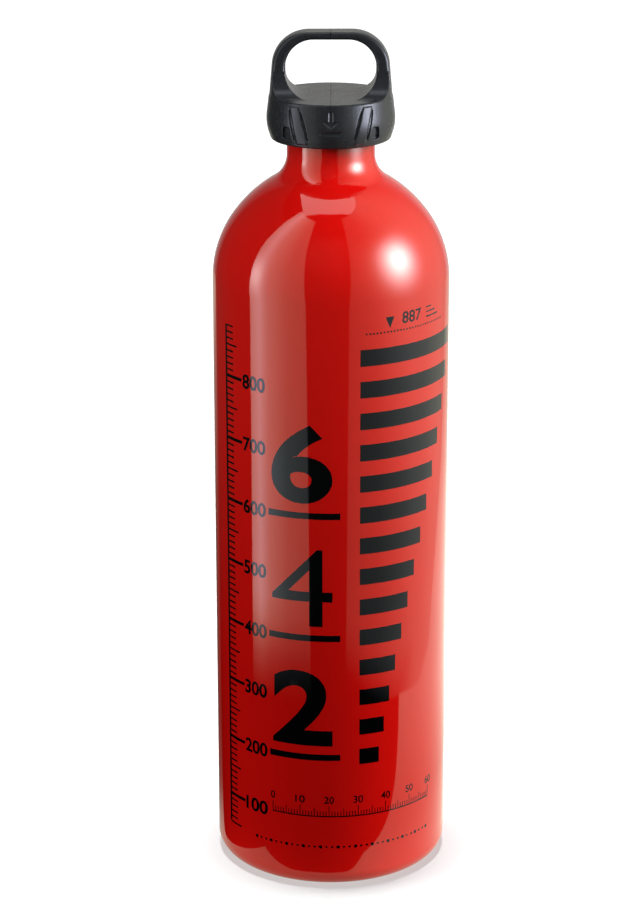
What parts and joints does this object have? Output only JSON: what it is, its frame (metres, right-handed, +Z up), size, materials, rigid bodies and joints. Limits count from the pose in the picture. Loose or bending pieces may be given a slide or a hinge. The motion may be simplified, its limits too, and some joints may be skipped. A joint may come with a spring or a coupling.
{
  "type": "camping fuel bottle",
  "caption": "Tall round aluminium fuel flask with a domed shoulder and a press-and-turn screw stopper that has a carrying loop.",
  "frame": {"origin": "on the bottle's axis, in the plane that its base stands on", "axes": "+Z up along the bottle's axis; -Y is the front, where the press mark on the cover faces; +X is to the right seen from the front"},
  "size_m": [0.079, 0.079, 0.288],
  "materials": {
    "red_enamel": "gloss red enamel over aluminium",
    "black_plastic": "fine satin moulded plastic",
    "stopper_plastic": "satin moulded plastic",
    "seal_rubber": "matt nitrile rubber",
    "spring_steel": "drawn stainless wire"
  },
  "bodies": {
    "bottle": {"bottle_body": "red_enamel"},
    "seal": {"seal_ring": "seal_rubber"},
    "stopper": {"threaded_stopper": "stopper_plastic"},
    "spring": {"return_spring": "spring_steel"},
    "cover": {"cap_cover": "black_plastic"}
  },
  "joints": [
    {"name": "stopper_lift", "type": "slide", "parent": "bottle", "child": "seal", "axis": [0, 0, 1], "range_m": [0, 0.0106]},
    {"name": "stopper_turn", "type": "hinge", "parent": "seal", "child": "stopper", "pos_m": [0, 0, 0.25], "axis": [0, 0, 1], "range_deg": [0, 1260]},
    {"name": "cover_spin", "type": "hinge", "parent": "stopper", "child": "spring", "pos_m": [0, 0, 0.2596], "axis": [0, 0, 1], "continuous": true},
    {"name": "cover_press", "type": "slide", "parent": "spring", "child": "cover", "axis": [0, 0, 1], "range_m": [-0.002, 0], "stiffness_N_per_m": 1500, "springref_m": 0.001, "deforming": ["return_spring"]}
  ],
  "couplings": [
    {"joint": "stopper_lift", "follows": "stopper_turn", "m_per_rad": 0.00047746}
  ]
}
